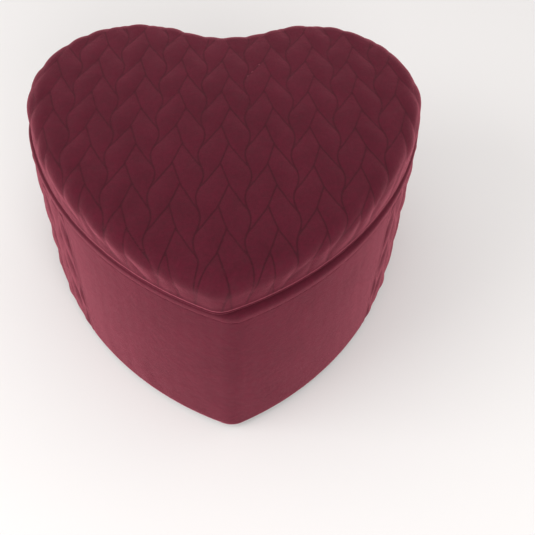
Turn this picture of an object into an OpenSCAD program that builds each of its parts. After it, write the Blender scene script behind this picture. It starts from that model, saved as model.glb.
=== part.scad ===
// Heart-shaped storage footstool with a padded lift-off lid.
// Millimetres, +Z up, origin on the floor under the middle of the bounding box.
// The tip of the heart points to -Y and its cleft to +Y.

/* [Heart outline] */
// Width across the two lobes
width = 500; // [480:5:520]
// Radius of each lobe
lobe_r = 137; // [130:1:140]
// Distance from the lobe centres' line to the centre of the tip's arc
tip_reach = 270; // [260:1:276]
// Radius of the rounded tip
tip_r = 30; // [28:1:40]
// The same reach at the foot of the box, which stands further forward
foot_reach = 290; // [278:1:294]
// Radius of the hollow between the lobes
cleft_r = 120; // [110:1:130]
// Radius of the bowed sides
side_r = 390; // [370:5:450]

/* [Heights] */
// Height of the box, from the floor to the top of its rim
box_h = 230; // [200:5:260]
// Thickness of the lid at its crown
lid_t = 52; // [48:1:60]
// Rise of the lid's crown above its rounded edge
crown = 4; // [2:0.5:8]
// Depth of the velvet rim band, from the top of the rim to its outer seam
rim_h = 12; // [10:1:16]
// Height of the black base below the velvet
base_h = 9; // [8:0.5:12]

/* [Wall] */
// Thickness of the quilted velvet
quilt_t = 4; // [3:0.5:5]
// Thickness of the plain velvet
velvet_t = 2; // [1:0.5:2]
// Inset of the outer face of the wall's outer shell
shell_in = 12; // [10:1:14]
// Thickness of the hardboard shells
shell_t = 3; // [2:0.5:4]
// Width of the plywood rings, measured through the wall
ring_w = 22; // [20:1:26]
// Thickness of the plywood rings
ring_t = 15; // [12:1:18]
// Distance of the side seams' feet in front of the line through the lobe centres
seam_y = 181; // [170:1:190]
// How far each seam runs back from its foot to the rim
seam_back = 28; // [0:1:34]

/* [Lid] */
// How far the lid's widest line lies inside the outline of the rim
lid_in = 3; // [0:0.5:5]
// Thickness of the plywood lid board
lid_board_t = 12; // [9:1:15]
// Radius of the padded upper edge
lid_edge_r = 22; // [18:1:24]
// Thickness of the wadding over the foam
wadding_t = 4; // [3:0.5:5]
// Thickness of the quilted cover
cover_t = 3; // [2:0.5:4]
// Thickness of the locator panel under the lid
locator_t = 14; // [9:1:18]
// Play between the locator panel and the rim
locator_gap = 10; // [9:0.5:14]
// How far the lid rests turned on the box, in degrees, clockwise from above
lid_turn = 2.6; // [0:0.2:2.8]
// Gap between the lid's underside and the rim
lid_gap = 0.4; // [0.3:0.1:1]

/* [Hidden] */

velvet = "#7d2a3d";
black = "#17171a";
ply = "#c9a877";
hardboard = "#7a5a3c";
foam = "#e9e2c8";
white = "#f2f2f0";
steel = "#b4b6ba";

// Heart outline: arcs that meet smoothly, each moved inwards by the inset d.
// The half runs from the tip (index 0) to the cleft (index 30); the other half mirrors it.
lobe_x = width / 2 - lobe_r;
half_n = 30;
full_n = 2 * half_n;
inner_tip_r = 8;
lobe_c = [lobe_x, 0];
cleft_c = [0, sqrt(pow(lobe_r + cleft_r, 2) - lobe_x * lobe_x)];
cleft_a = angle_of(cleft_c - lobe_c);

// A front is [radius of the tip, centre of the side's arc]: the rim and the lid have one and the foot another
rim_front = [tip_r, side_centre([0, -tip_reach], side_r - lobe_r, side_r - tip_r)];
foot_front = [tip_r, side_centre([0, -foot_reach], side_r - lobe_r, side_r - tip_r)];

function angle_of(v) = atan2(v[1], v[0]);
function side_centre(tip_c, to_lobe, to_tip) =
    let (span = lobe_c - tip_c, gap = norm(span))
    let (along = (to_tip * to_tip - to_lobe * to_lobe + gap * gap) / (2 * gap))
    let (away = sqrt(to_tip * to_tip - along * along))
    tip_c + along * span / gap + away * [-span[1], span[0]] / gap;
function arc(c, r, a0, a1, n) = [for (i = [1:n]) c + r * [cos(a0 + (a1 - a0) * i / n), sin(a0 + (a1 - a0) * i / n)]];
function tip_centre(side_c, reach) = [0, side_c[1] - sqrt(reach * reach - side_c[0] * side_c[0])];
function half_outline(d, front) =
    let (r = max(front[0] - d, inner_tip_r), side_c = front[1], c = tip_centre(side_c, side_r - d - r))
    let (a = angle_of(c - side_c), side_a = angle_of(lobe_c - side_c))
    concat(
        [c - [0, r]],
        arc(c, r, -90, a, 4),
        arc(side_c, side_r - d, a, side_a, 8),
        arc(lobe_c, lobe_r - d, side_a, 0, 2),
        arc(lobe_c, lobe_r - d, 0, 90, 9),
        arc(lobe_c, lobe_r - d, 90, cleft_a, 3),
        arc(cleft_c, cleft_r + d, cleft_a + 180, 270, 4)
    );
function outline(d, front = rim_front) =
    let (half = half_outline(d, front))
    concat(half, [for (i = [half_n - 1:-1:1]) [-half[i][0], half[i][1]]]);
function at(d, i) = outline(d)[i];
function foot_outline(d) = outline(d, foot_front);
function lid_outline(d) = outline(lid_in + d);
function both_sides(half) = concat(half, [for (i = half) full_n - i]);
function turn_of(points, i) = angle_of(points[(i + 1) % full_n] - points[(i + full_n - 1) % full_n]);
function turn_at(d, i) = turn_of(outline(d), i);

// Wall layers, as insets from the outer face of the velvet
ring_in = shell_in + shell_t;
ring_out = ring_in + ring_w;
inner_face = ring_out + shell_t;
lining_t = 1;
rim_face = inner_face + lining_t + velvet_t;
hem_in = 34;
hem_t = 1.5;
rim_z = box_h - rim_h;
ring_z = base_h + hem_t;
top_ring_z = rim_z - ring_t;
post_z = ring_z + ring_t;
band_drop = 22;
roll_outside = 0.45;
roll_inside = 0.8;
foam_gap = 0.2;
screw_in = ring_in + ring_w / 2;
seam_tilt = atan(seam_back / (rim_z - base_h));

// Base
glide_t = 2.5;
glide_r = 12;
glide_in = 36;
glide_chamfer = 1;
nail_r = 1;
pad_gap = 0.5;
pad_t = 3;
glide_at = concat([0, half_n], both_sides([11, 19]));
cloth_t = 0.8;
panel_in = 5;

// Posts: width along the wall, thickness through it, and their places on the outline
post_w = 30;
post_t = 18;
post_at = concat([half_n], both_sides([6, 11, 16, 22]));
tip_post_w = 60;
tip_post_y = -254;

// Fasteners
screw_r = 2;
screw_head_r = 4;
screw_head_h = 2.2;
staple_w = 10;
staple_leg = 8;
staple_wire = 1.2;
staple_crown_t = 0.6;
staple_in = 20;
staple_at = both_sides([5, 8, 11, 14, 17, 20, 23, 26, 29]);
base_screw_at = both_sides([6, 12, 18, 24, 28]);
locator_screw_at = both_sides([7, 14, 22]);
base_screw_l = 20;
post_screw_l = 35;

// Lid layers: heights, and insets from the widest line of the lid
lid_z = box_h + lid_gap;
lid_top = box_h + lid_t;
board_z = lid_z + 1.6;
edge_in = 1.2;
hem_edge = 26;
welt_in = 1.5;
welt_h = 4;
welt_round = 0.5;
edge_z = lid_top - crown - lid_edge_r;
edge_c = edge_in + lid_edge_r;
board_in = edge_in + cover_t + wadding_t;
crown_c = [0, -40];
lining_z = board_z - cloth_t;
locator_z = lining_z - locator_t;
locator_in = rim_face + locator_gap - lid_in;
locator_screw_in = 18;
locator_screw_bite = 9;

// The lid turns about the middle of the lobe centres' line
back_y = max(lobe_r, lobe_x * sin(lid_turn) + (lobe_r - lid_in) * cos(lid_turn));
front_y = -foot_reach - tip_r;
centre_y = -(back_y + front_y) / 2;

// Frames of the two bodies
module on_box() translate([0, centre_y, 0]) children();
module on_lid() translate([0, centre_y, 0]) rotate([0, 0, -lid_turn]) children();

// Plates of the shape of the rim, of the foot and of the lid, inset by d, from height z, t thick
module plate(d, z, t) translate([0, 0, z]) linear_extrude(t) polygon(outline(d));
module foot_plate(d, z, t) translate([0, 0, z]) linear_extrude(t) polygon(foot_outline(d));
module lid_plate(d, z, t) translate([0, 0, z]) linear_extrude(t) polygon(lid_outline(d));
// Wall between two insets
module wall(d0, d1, z, t)
    translate([0, 0, z]) linear_extrude(t) difference() {
        polygon(outline(d0));
        polygon(outline(d1));
    }
// Parts of the plan
module left_side(h) translate([-width, -width, -1]) cube([width, 2 * width, h]);
module right_side(h) translate([0, -width, -1]) cube([width, 2 * width, h]);
module behind_seams() seam_place() translate([-width, 0, -width]) cube(2 * width);
module before_seams() seam_place() translate([-width, -2 * width, -width]) cube(2 * width);
module seam_place() translate([0, -seam_y, base_h]) rotate([-seam_tilt, 0, 0]) children();

// One level of the rim, one of the leaning wall, and one of the lid, which may be drawn in towards the crown by the share s
function level(d, z) = [for (p = outline(d)) [each p, z]];
function wall_level(d, z) =
    let (rim = outline(d), foot = foot_outline(d), rise = (z - base_h) / (rim_z - base_h))
    [for (i = [0:full_n - 1]) [each foot[i] + (rim[i] - foot[i]) * rise, z]];
function lid_level(d, z, s = 0) = [for (p = lid_outline(d)) [each p + (crown_c - p) * s, z]];
function band_faces(j0, j1) = [
    for (i = [0:full_n - 1])
        let (k = (i + 1) % full_n)
        each [
            [j0 * full_n + i, j1 * full_n + i, j1 * full_n + k],
            [j0 * full_n + i, j1 * full_n + k, j0 * full_n + k]
        ]
];
// Solid through a list of levels, closed by a flat face at each end
module stack(levels) {
    last = len(levels) - 1;
    polyhedron(
        points = [for (l = levels) each l],
        faces = concat(
            [[for (i = [0:full_n - 1]) i]],
            [for (j = [0:last - 1]) each band_faces(j, j + 1)],
            [[for (i = [full_n - 1:-1:0]) last * full_n + i]]
        )
    );
}
// Ring through a closed loop of levels
module loop(levels) {
    n = len(levels);
    polyhedron(
        points = [for (l = levels) each l],
        faces = [for (j = [0:n - 1]) each band_faces(j, (j + 1) % n)]
    );
}
// Levels of a padded top whose surface lies t under the cover's, from its edge to its crown
function pad_top(t) = concat(
    [for (a = [0:30:90]) lid_level(edge_c - (lid_edge_r - t) * cos(a), edge_z + (lid_edge_r - t) * sin(a))],
    [for (s = [0.3, 0.65, 0.9]) lid_level(edge_c, lid_top - t - crown * pow(1 - s, 2), s)]
);
function reversed(list) = [for (i = [len(list) - 1:-1:0]) list[i]];

// Fasteners, standing at the origin
module screw(length) {
    cylinder(h = screw_head_h, r1 = screw_head_r, r2 = screw_r, $fn = 32);
    cylinder(h = length, r = screw_r, $fn = 32);
}
module staple() {
    translate([-staple_w / 2, -staple_wire / 2, 0]) cube([staple_w, staple_wire, staple_crown_t]);
    for (x = [-staple_w / 2, staple_w / 2 - staple_wire])
        translate([x, -staple_wire / 2, 0]) cube([staple_wire, staple_wire, staple_leg]);
}
module staple_row(points, z)
    for (i = staple_at) translate([each points[i], z]) rotate([0, 0, turn_of(points, i)]) staple();

// Box
module base_panel() color(black) on_box() foot_plate(panel_in, glide_t + cloth_t, base_h - glide_t - cloth_t);
module dust_cover()
    color(black) on_box() difference() {
        foot_plate(panel_in - cloth_t, glide_t, base_h - glide_t);
        foot_plate(panel_in, glide_t + cloth_t, base_h);
    }
module glides()
    color(black) on_box() for (i = glide_at) translate([each at(glide_in, i), 0]) {
        cylinder(h = glide_t, r1 = glide_r - glide_chamfer, r2 = glide_r, $fn = 48);
        cylinder(h = base_h - 1, r = nail_r, $fn = 16);
    }
module bottom_ring() color(ply) on_box() wall(ring_in, ring_out, ring_z, ring_t);
module top_ring() color(ply) on_box() wall(ring_in, ring_out, top_ring_z, ring_t);
module wall_posts()
    color(ply) on_box() for (i = post_at)
        translate([each at(screw_in, i), post_z]) rotate([0, 0, turn_at(screw_in, i)])
            translate([-post_w / 2, -post_t / 2, 0]) cube([post_w, post_t, top_ring_z - post_z]);
module tip_post()
    color(ply) on_box() intersection() {
        wall(ring_in, ring_out, post_z, top_ring_z - post_z);
        translate([-tip_post_w / 2, tip_post_y - width, 0]) cube([tip_post_w, width, box_h]);
    }
module outer_shell() wall(shell_in, ring_in, ring_z, rim_z - ring_z);
module left_outer_shell() color(hardboard) on_box() intersection() { outer_shell(); left_side(box_h); }
module right_outer_shell() color(hardboard) on_box() intersection() { outer_shell(); right_side(box_h); }
module inner_shell() wall(ring_out, inner_face, base_h, rim_z - base_h);
module left_inner_shell() color(hardboard) on_box() intersection() { inner_shell(); left_side(box_h); }
module right_inner_shell() color(hardboard) on_box() intersection() { inner_shell(); right_side(box_h); }
module base_screws()
    color(steel) on_box() for (i = base_screw_at)
        translate([each at(screw_in, i), glide_t + cloth_t]) screw(base_screw_l);
module top_ring_screws()
    color(steel) on_box() for (i = post_at)
        translate([each at(screw_in, i), rim_z]) rotate([180, 0, 0]) screw(post_screw_l);
// Soft layer between the velvet, t thick, and the outer shell: it leans out to the foot as the velvet does
module padding(t)
    difference() {
        stack([wall_level(t + foam_gap, ring_z), wall_level(t + foam_gap, rim_z)]);
        plate(shell_in, 0, box_h);
    }
// Velvet t thick, from the rim down to the foot and turned under it
module velvet_wall(t)
    difference() {
        stack([wall_level(0, base_h), wall_level(0, rim_z)]);
        stack([wall_level(t, ring_z), wall_level(t, rim_z), level(t, box_h)]);
        plate(hem_in, 0, box_h);
    }
module left_foam() color(foam) on_box() intersection() { padding(quilt_t); left_side(box_h); behind_seams(); }
module right_foam() color(foam) on_box() intersection() { padding(quilt_t); right_side(box_h); behind_seams(); }
module front_foam() color(foam) on_box() intersection() { padding(velvet_t); before_seams(); }
module left_quilted_panel()
    color(velvet) on_box() intersection() { velvet_wall(quilt_t); left_side(box_h); behind_seams(); }
module right_quilted_panel()
    color(velvet) on_box() intersection() { velvet_wall(quilt_t); right_side(box_h); behind_seams(); }
module front_panel() color(velvet) on_box() intersection() { velvet_wall(velvet_t); before_seams(); }
// Padded roll on the rim, t under its outer face: from the outside over the top to the inside.
// Its outside is squarer than its inside.
function bulge(v, roundness) = sign(v) * pow(abs(v), roundness);
function roll(t) = [
    for (a = [0:22.5:180])
        let (roundness = a < 90 ? roll_outside : roll_inside)
        level(
            rim_face / 2 - (rim_face / 2 - t) * bulge(cos(a), roundness),
            rim_z + (rim_h - t) * bulge(sin(a), roundness)
        )
];
module rim_foam() color(foam) on_box() loop(roll(velvet_t + foam_gap));
module rim_band()
    color(velvet) on_box() loop(concat(
        roll(0),
        [level(rim_face, rim_z - band_drop), level(rim_face - velvet_t, rim_z - band_drop)],
        reversed(roll(velvet_t))
    ));
module wall_lining() color(black) on_box() wall(inner_face, inner_face + lining_t, base_h, rim_z - base_h);
module floor_pad() color(black) on_box() plate(inner_face + lining_t + pad_gap, base_h, pad_t);
module base_staples() color(steel) on_box() staple_row(outline(staple_in), base_h);

// Lid
module lid_board() color(ply) on_lid() lid_plate(board_in, board_z, lid_board_t);
module lid_foam()
    color(foam) on_lid() stack(concat(
        [lid_level(board_in + foam_gap, board_z + lid_board_t)],
        pad_top(cover_t + wadding_t + foam_gap)
    ));
module lid_wadding()
    color(white) on_lid() stack(concat(
        reversed(pad_top(cover_t + wadding_t)),
        [lid_level(board_in, board_z), lid_level(edge_in + cover_t + foam_gap, board_z)],
        pad_top(cover_t + foam_gap)
    ));
module lid_cover()
    color(velvet) on_lid() stack(concat(
        reversed(pad_top(cover_t)),
        [
            lid_level(edge_in + cover_t, board_z),
            lid_level(hem_edge, board_z),
            lid_level(hem_edge, lid_z),
            lid_level(welt_in, lid_z),
            lid_level(welt_in, lid_z + welt_h),
            lid_level(edge_in, lid_z + welt_h + 1)
        ],
        pad_top(0)
    ));
module lid_welt()
    color(velvet) on_lid() loop([
        lid_level(welt_in, lid_z + welt_h),
        lid_level(welt_in, lid_z),
        lid_level(welt_round, lid_z + welt_round),
        lid_level(0, lid_z + welt_h / 2),
        lid_level(welt_round, lid_z + welt_h - welt_round)
    ]);
module lid_lining() color(black) on_lid() lid_plate(hem_edge, lining_z, cloth_t);
module locator_panel() color(black) on_lid() lid_plate(locator_in, locator_z, locator_t);
module locator_screws()
    color(steel) on_lid() for (i = locator_screw_at)
        translate([each lid_outline(locator_in + locator_screw_in)[i], locator_z]) screw(locator_t + locator_screw_bite);
module lid_staples() color(steel) on_lid() staple_row(lid_outline(staple_in), lid_z);

base_panel();
dust_cover();
glides();
bottom_ring();
top_ring();
wall_posts();
tip_post();
left_outer_shell();
right_outer_shell();
left_inner_shell();
right_inner_shell();
base_screws();
top_ring_screws();
left_foam();
right_foam();
front_foam();
left_quilted_panel();
right_quilted_panel();
front_panel();
rim_foam();
rim_band();
wall_lining();
floor_pad();
base_staples();
lid_board();
lid_foam();
lid_wadding();
lid_cover();
lid_welt();
lid_lining();
locator_panel();
locator_screws();
lid_staples();
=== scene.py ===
import math

import bpy
import numpy as np
from mathutils import Matrix, Vector


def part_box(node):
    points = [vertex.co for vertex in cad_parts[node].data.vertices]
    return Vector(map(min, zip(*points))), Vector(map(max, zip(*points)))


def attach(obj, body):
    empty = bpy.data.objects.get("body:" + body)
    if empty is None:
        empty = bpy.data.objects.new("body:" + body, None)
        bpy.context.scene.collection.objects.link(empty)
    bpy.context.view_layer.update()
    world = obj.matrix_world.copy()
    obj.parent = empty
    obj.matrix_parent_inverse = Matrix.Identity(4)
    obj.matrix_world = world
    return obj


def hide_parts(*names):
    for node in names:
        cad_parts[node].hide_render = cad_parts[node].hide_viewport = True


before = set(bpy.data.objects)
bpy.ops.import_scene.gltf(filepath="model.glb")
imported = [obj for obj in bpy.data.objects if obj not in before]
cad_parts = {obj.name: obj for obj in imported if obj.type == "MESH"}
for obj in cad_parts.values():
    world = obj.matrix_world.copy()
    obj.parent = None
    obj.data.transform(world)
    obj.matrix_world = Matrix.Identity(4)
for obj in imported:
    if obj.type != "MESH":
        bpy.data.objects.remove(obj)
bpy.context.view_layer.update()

MM = 0.001

# ---------------------------------------------------------------- outline of the heart, in metres

WIDTH, LOBE_R, SIDE_R, CLEFT_R = 0.500, 0.137, 0.390, 0.120
RIM_TIP, FOOT_TIP = (0.270, 0.030), (0.290, 0.030)  # the tip's reach and radius at the rim and the foot
INNER_TIP_R = 0.008
LID_IN = 0.003  # the lid's widest line lies this far inside its outline
LID_TURN = math.radians(-2.6)
SEAM_Y, SEAM_BACK = -0.181, 0.028  # place of the side seams' feet, and how far each runs back up to the rim
LOBE = np.array([WIDTH / 2 - LOBE_R, 0.0])
CLEFT = np.array([0.0, math.sqrt((LOBE_R + CLEFT_R) ** 2 - LOBE[0] ** 2)])
CLEFT_A = math.atan2(CLEFT[1], -LOBE[0])
CENTRE_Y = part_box("front_panel")[0].y + FOOT_TIP[0] + FOOT_TIP[1]


def side_centre(reach, radius):
    tip = np.array([0.0, -reach])
    span = LOBE - tip
    gap = np.linalg.norm(span)
    to_lobe, to_tip = SIDE_R - LOBE_R, SIDE_R - radius
    along = (to_tip**2 - to_lobe**2 + gap**2) / (2 * gap)
    away = math.sqrt(to_tip**2 - along**2)
    return tip + (along * span + away * np.array([-span[1], span[0]])) / gap


class Heart:
    """Half outlines made of arcs from the tip to the cleft, and the whole outline, at any inset d."""

    def __init__(self, tip, base=0.0):
        self.tip_r, self.base = tip[1], base
        self.side = side_centre(*tip)

    def arcs(self, d):
        d = d + self.base
        r = max(self.tip_r - d, INNER_TIP_R)
        reach = SIDE_R - d - r
        c = np.array([0.0, self.side[1] - math.sqrt(reach**2 - self.side[0] ** 2)])
        a = math.atan2(c[1] - self.side[1], c[0] - self.side[0])
        b = math.atan2(*(LOBE - self.side)[::-1])
        return {
            "tip": (c, r, -math.pi / 2, a, 1),
            "side": (self.side, SIDE_R - d, a, b, 1),
            "lobe": (LOBE, LOBE_R - d, b, CLEFT_A, 1),
            "cleft": (CLEFT, CLEFT_R + d, CLEFT_A - math.pi, -math.pi / 2, -1),
        }

    def half(self, d, names, step):
        """Points, outward normals and lengths along the named arcs; the counts don't depend on d."""
        at0, here = self.arcs(0.0), self.arcs(d)
        pts, nrm, lens, run = [], [], [], 0.0
        for k, name in enumerate(names):
            _, r0, a0, a1, _ = at0[name]
            length = abs(r0 * (a1 - a0))
            n = max(4, int(round(length / step)))
            c, r, b0, b1, sign = here[name]
            t = np.linspace(0, 1, n + 1)[(0 if k == 0 else 1):]
            ang = b0 + (b1 - b0) * t
            u = np.stack([np.cos(ang), np.sin(ang)], 1)
            pts.append(c + r * u)
            nrm.append(sign * u)
            lens.append(run + length * t)
            run += length
        return np.concatenate(pts), np.concatenate(nrm), np.concatenate(lens)

    def ring(self, d, step):
        """The whole outline from the tip, anticlockwise."""
        p, n, s = self.half(d, WHOLE, step)
        flip = np.array([-1.0, 1.0])
        return (
            np.concatenate([p, (p * flip)[-2:0:-1]]),
            np.concatenate([n, (n * flip)[-2:0:-1]]),
            np.concatenate([s, (2 * s[-1] - s)[-2:0:-1]]),
        )


WHOLE = ("tip", "side", "lobe", "cleft")
RIM, FOOT, LID = Heart(RIM_TIP), Heart(FOOT_TIP), Heart(RIM_TIP, LID_IN)
FOOT_LINE = FOOT.half(0.0, WHOLE, 0.1 * MM)[0]
LEAN_FROM, LEAN_TO = -4 * MM, 24 * MM  # where the foot's line is looked for, along the rim's normals
FRONT_SHARE = 0.62  # the seams lie within this share of the half outline from the tip


def lean_of(points, normals):
    """How far the foot stands outside the rim, along the rim's normals."""
    out = []
    for p, n in zip(points, normals):
        side = 1.0 if p[0] >= 0 else -1.0
        rel = FOOT_LINE * [side, 1] - p
        along, across = rel @ n, rel @ np.array([-n[1], n[0]])
        near = np.where((along > LEAN_FROM) & (along < LEAN_TO), np.abs(across), 1.0)
        out.append(max(along[near.argmin()], 0.0))
    return np.array(out)


class Wall:
    """The leaning wall: its outer face by the height z and by the distance s from the tip along the rim.

    s is below 0 on the left.
    """

    def __init__(self):
        self.p, self.n, self.s = RIM.half(0.0, WHOLE, 0.5 * MM)
        self.lean = lean_of(self.p, self.n)
        self.end = self.s[-1]

    def seam(self, z):
        """Distance of the side seam from the tip at each height."""
        out = []
        front = self.s < FRONT_SHARE * self.end
        for h in np.atleast_1d(z):
            y = (self.p[:, 1] + self.n[:, 1] * self.lean * fall(h))[front]
            out.append(np.interp(SEAM_Y + SEAM_BACK * (1 - fall(h)), y, self.s[front]))
        return np.array(out)

    def at(self, s, z, out, leaning=True):
        s, z, out = np.broadcast_arrays(s, z, out)
        a = np.abs(s)
        q = np.stack([np.interp(a, self.s, self.p[:, k]) for k in (0, 1)], -1)
        n = np.stack([np.interp(a, self.s, self.n[:, k]) for k in (0, 1)], -1)
        n /= np.linalg.norm(n, axis=-1, keepdims=True)
        if leaning:
            out = out + np.interp(a, self.s, self.lean) * fall(z)
        q = q + n * out[..., None]
        q[..., 0] = np.where(s < 0, -q[..., 0], q[..., 0])
        return lift(q, z)


def fall(z):
    """Share of the lean at the height z: none at the rim, all of it at the foot."""
    return (RIM_Z - np.asarray(z, float)) / (RIM_Z - BASE_Z)


def box_place(p):
    return p + np.array([0, CENTRE_Y, 0])


def lid_place(p):
    c, s = math.cos(LID_TURN), math.sin(LID_TURN)
    turned = np.stack([p[..., 0] * c - p[..., 1] * s, p[..., 0] * s + p[..., 1] * c, p[..., 2]], -1)
    return turned + np.array([0, CENTRE_Y, 0])


def lift(xy, z):
    """Points in space from points in the plane and a height."""
    column = np.broadcast_to(np.asarray(z, float)[..., None], xy.shape[:-1] + (1,))
    return np.concatenate([xy, column], -1)


# ---------------------------------------------------------------- quilting

CELL = np.array([52.8, 59.4]) * MM  # one repeat
LEAF = MM * np.array([  # one stitch line, from a leaf's tip down its side
    (9.7, 29.7), (0, 0), (-6.9, -12.5), (-15.3, -26.4), (-22.2, -36.7),
    (-24.6, -45), (-24.4, -52.5), (-22.4, -61), (-19.4, -69),
])
LINE_POINTS = 24  # points between two of a stitch line's own
FIELD_STEP = 0.3 * MM
BESIDE = 16 * MM  # stitches this far outside the repeat still count
MEMBRANE_ROUNDS, MEMBRANE_LOAD, MEMBRANE_ROUNDNESS = 1500, 60, 0.62
TIP_A = np.array([-2.6, 46.5]) * MM  # one leaf's tip on the lid
TIP_B = TIP_A + np.array([9.7, -29.7]) * MM


def smooth_line(points, n):
    """Points along a Catmull-Rom curve through the given ones."""
    p = np.concatenate([[2 * points[0] - points[1]], points, [2 * points[-1] - points[-2]]])
    t = np.linspace(0, 1, n, endpoint=False)[:, None]
    out = []
    for a, b, c, d in zip(p[:-3], p[1:-2], p[2:-1], p[3:]):
        square, cube = 2 * a - 5 * b + 4 * c - d, 3 * b - a - 3 * c + d
        out.append(0.5 * (2 * b + (c - a) * t + square * t**2 + cube * t**3))
    return np.concatenate(out + [points[-1:]])


def beside(f):
    """The sum of each value's four neighbours in a field that repeats."""
    return np.roll(f, 1, 0) + np.roll(f, -1, 0) + np.roll(f, 1, 1) + np.roll(f, -1, 1)


class Quilt:
    """One repeat of the quilting as fields: how far each point bulges, and where its nearest stitch is."""

    def __init__(self):
        nx, ny = np.round(CELL / FIELD_STEP).astype(int)
        x = (np.arange(nx) + 0.5) / nx * CELL[0]
        y = (np.arange(ny) + 0.5) / ny * CELL[1]
        gx, gy = np.meshgrid(x, y, indexing="ij")
        left = smooth_line(LEAF, LINE_POINTS) + TIP_A
        right = smooth_line(LEAF * [-1, 1], LINE_POINTS) + TIP_B
        best = np.full((nx, ny), 1e9)
        ox, oy = np.zeros((nx, ny)), np.zeros((nx, ny))
        for line in (left, right):
            for i in range(-2, 3):
                for j in range(-2, 3):
                    q = line + CELL * [i, j]
                    for a, b in zip(q[:-1], q[1:]):
                        if not (abs(a - CELL / 2) < CELL / 2 + BESIDE).all():
                            continue
                        ab = b - a
                        t = np.clip(((gx - a[0]) * ab[0] + (gy - a[1]) * ab[1]) / (ab @ ab), 0, 1)
                        dx, dy = a[0] + t * ab[0] - gx, a[1] + t * ab[1] - gy
                        d = dx * dx + dy * dy
                        m = d < best
                        best[m], ox[m], oy[m] = d[m], dx[m], dy[m]
        self.dist = np.sqrt(best)
        self.ox, self.oy = ox, oy
        sewn = self.dist < 0.8 * FIELD_STEP
        h = np.where(sewn, 0, self.dist)
        for _ in range(MEMBRANE_ROUNDS):  # a membrane blown up between the stitches
            h = 0.25 * (beside(h) + FIELD_STEP**2 * MEMBRANE_LOAD)
            h[sewn] = 0
        self.puff = (h / h.max()) ** MEMBRANE_ROUNDNESS

    def field(self, f, u, v):
        """A field of the repeat at any points."""
        nx, ny = f.shape
        x = np.mod(u / CELL[0], 1) * nx - 0.5
        y = np.mod(v / CELL[1], 1) * ny - 0.5
        i, j = np.floor(x).astype(int), np.floor(y).astype(int)
        a, b = x - i, y - j
        i0, i1, j0, j1 = i % nx, (i + 1) % nx, j % ny, (j + 1) % ny
        return (f[i0, j0] * (1 - a) + f[i1, j0] * a) * (1 - b) + (f[i0, j1] * (1 - a) + f[i1, j1] * a) * b

    def snap(self, u, v, reach):
        """Moves that put the points near a stitch line on it."""
        dx, dy = self.field(self.ox, u, v), self.field(self.oy, u, v)
        near = np.hypot(dx, dy) < reach
        return np.where(near, dx, 0), np.where(near, dy, 0)


QUILT = Quilt()
RELIEF_GRID, RELIEF_REPEATS = (36, 40), 3  # points in one repeat, and repeats each way in the sheet
RELIEF_SCALE = 10.0  # the sheet is simulated this many times its size
RELIEF_SEWN = 0.75 * MM  # points this close to a stitch are held
RELIEF_FRAMES, RELIEF_QUALITY = 20, 6
RELIEF_MASS, RELIEF_PRESSURE, RELIEF_STIFFNESS, RELIEF_BENDING = 0.3, 4.0, 12, 2.0
RELIEF_SMOOTHING = 2  # rounds; the pile hides the finest creases
RELIEF_FULL, RELIEF_CAP = 97, 1.1  # the percentile that counts as full height, and the cap above it


def sewn_relief():
    """The relief of one repeat by cloth simulation, sewn down along the stitches and blown up between them."""
    nx, ny = RELIEF_GRID
    x = (np.arange(nx * RELIEF_REPEATS) + 0.5) / nx * CELL[0]
    y = (np.arange(ny * RELIEF_REPEATS) + 0.5) / ny * CELL[1]
    gx, gy = np.meshgrid(x, y, indexing="ij")
    verts = np.stack([gx.ravel(), gy.ravel(), np.zeros(gx.size)], 1) * RELIEF_SCALE
    idx = np.arange(gx.size).reshape(gx.shape)
    faces = np.stack([idx[:-1, :-1], idx[1:, :-1], idx[1:, 1:], idx[:-1, 1:]], -1).reshape(-1, 4)
    mesh = bpy.data.meshes.new("relief")
    mesh.from_pydata(verts.tolist(), [], faces.tolist())
    obj = bpy.data.objects.new("relief", mesh)
    bpy.context.scene.collection.objects.link(obj)
    sewn = QUILT.field(QUILT.dist, gx, gy) < RELIEF_SEWN
    sewn[[0, -1]], sewn[:, [0, -1]] = True, True
    group = obj.vertex_groups.new(name="sewn")
    group.add(np.nonzero(sewn.ravel())[0].tolist(), 1.0, "REPLACE")
    cloth = obj.modifiers.new("cloth", "CLOTH")
    cloth.point_cache.frame_start, cloth.point_cache.frame_end = 1, RELIEF_FRAMES
    put = cloth.settings
    put.vertex_group_mass = "sewn"
    put.quality, put.mass = RELIEF_QUALITY, RELIEF_MASS
    put.tension_stiffness = put.compression_stiffness = put.shear_stiffness = RELIEF_STIFFNESS
    put.bending_stiffness = RELIEF_BENDING
    put.use_pressure, put.uniform_pressure_force = True, RELIEF_PRESSURE
    put.effector_weights.gravity = 0
    scene = bpy.context.scene
    for frame_number in range(1, RELIEF_FRAMES + 1):
        scene.frame_set(frame_number)
    done = obj.evaluated_get(bpy.context.evaluated_depsgraph_get()).to_mesh()
    z = np.array([v.co.z for v in done.vertices]).reshape(gx.shape) / RELIEF_SCALE
    bpy.data.objects.remove(obj)
    bpy.data.meshes.remove(mesh)
    scene.frame_set(1)
    z = z[nx:2 * nx, ny:2 * ny]
    for _ in range(RELIEF_SMOOTHING):
        z = (2 * z + beside(z)) / 6
    return np.clip(z / np.percentile(z, RELIEF_FULL), 0, RELIEF_CAP)


QUILT.puff = sewn_relief()


def wobble(s, waves, seed):
    """Smooth seeded noise along s with the given wavelengths, about -1 to 1."""
    rng = np.random.RandomState(seed)
    out = np.zeros_like(s)
    for w in waves:
        out += np.sin(2 * math.pi * s / w + rng.uniform(0, 2 * math.pi)) * rng.uniform(0.6, 1.0)
    return out / len(waves)


def ramp(x, x0, x1):
    """A smooth step from 0 at x0 to 1 at x1."""
    t = np.clip((x - x0) / (x1 - x0), 0, 1)
    return t * t * (3 - 2 * t)


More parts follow.
